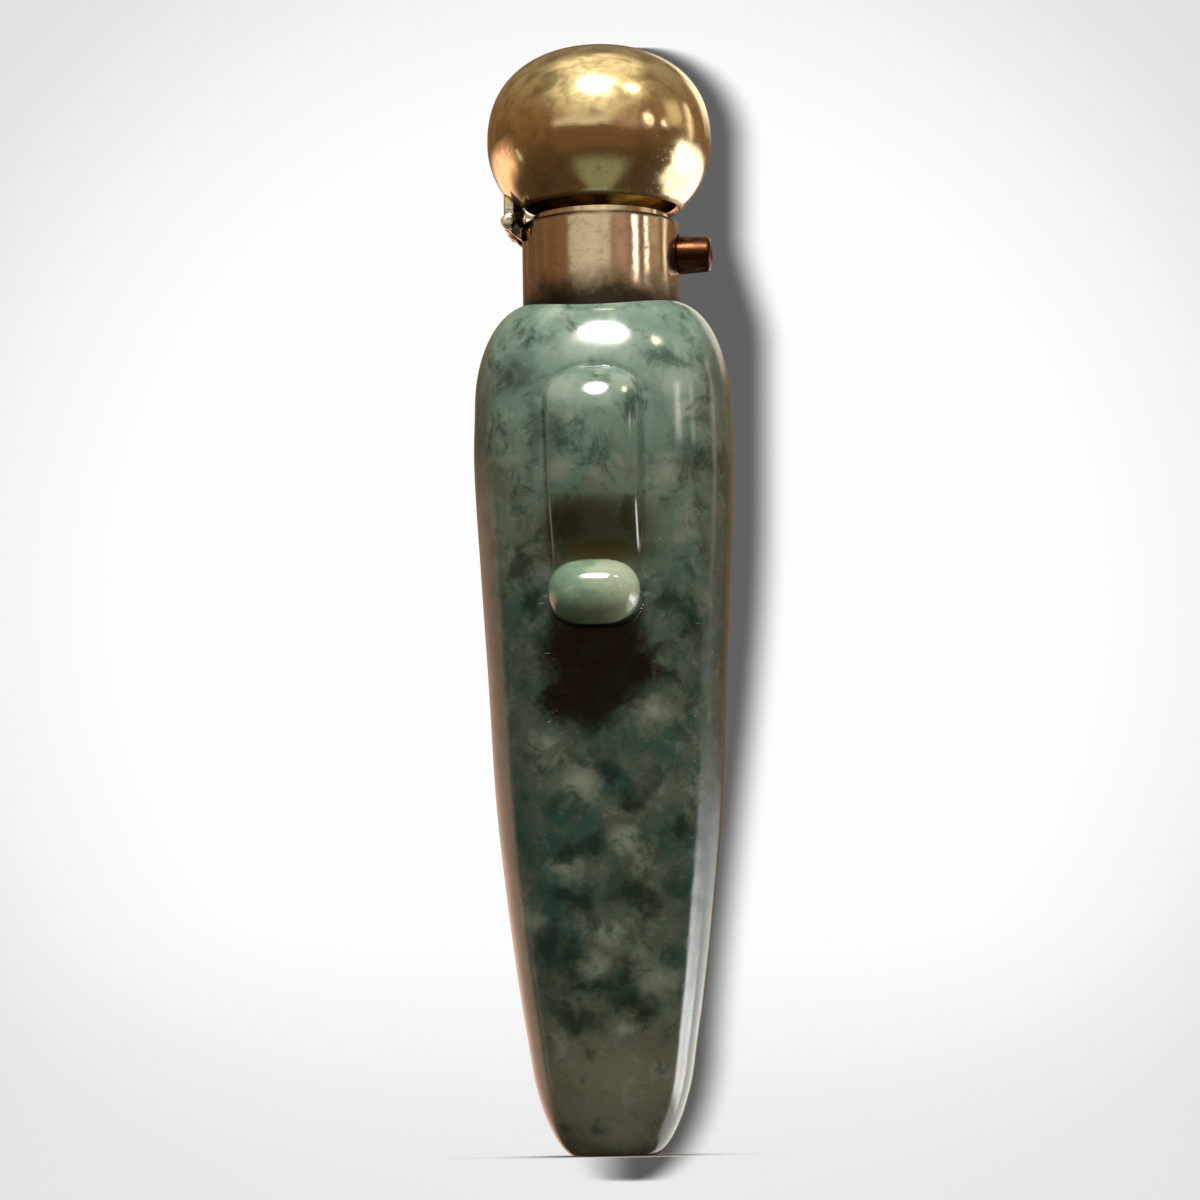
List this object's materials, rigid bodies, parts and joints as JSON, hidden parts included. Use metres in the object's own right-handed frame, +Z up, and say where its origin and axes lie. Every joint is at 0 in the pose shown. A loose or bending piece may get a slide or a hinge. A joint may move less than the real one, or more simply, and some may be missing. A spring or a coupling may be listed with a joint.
{
  "type": "moss agate scent flask",
  "caption": "Tapering carved moss agate scent flask with a carved strap and scroll, a gilt collar and a domed lid that hinges open at the push of a catch.",
  "frame": {"origin": "middle of the flask's flat foot, on the surface that it stands on", "axes": "+Z up along the flask, -Y the front with the carved strap, -X the hinge, +X the catch button"},
  "size_m": [0.0234, 0.0244, 0.0997],
  "materials": {
    "moss_agate": "carved and polished green moss agate with milky and near-black clouds",
    "gilt_metal": "polished gilt metal with fine scratches and a little tarnish",
    "darkened_gilt": "gilt metal gone dark brown"
  },
  "bodies": {
    "bottle": {"agate_flask": "moss_agate", "neck_collar": "gilt_metal", "hinge_pin": "darkened_gilt"},
    "lid": {"domed_lid": "gilt_metal"},
    "button": {"catch_button": "darkened_gilt"}
  },
  "joints": [
    {"name": "lid_hinge", "type": "hinge", "parent": "bottle", "child": "lid", "pos_m": [-0.008, 0, 0.08347], "axis": [0, -1, 0], "range_deg": [0, 110]},
    {"name": "catch_push", "type": "slide", "parent": "bottle", "child": "button", "axis": [-1, 0, 0], "range_m": [0, 0.0006], "stiffness_N_per_m": 150}
  ]
}
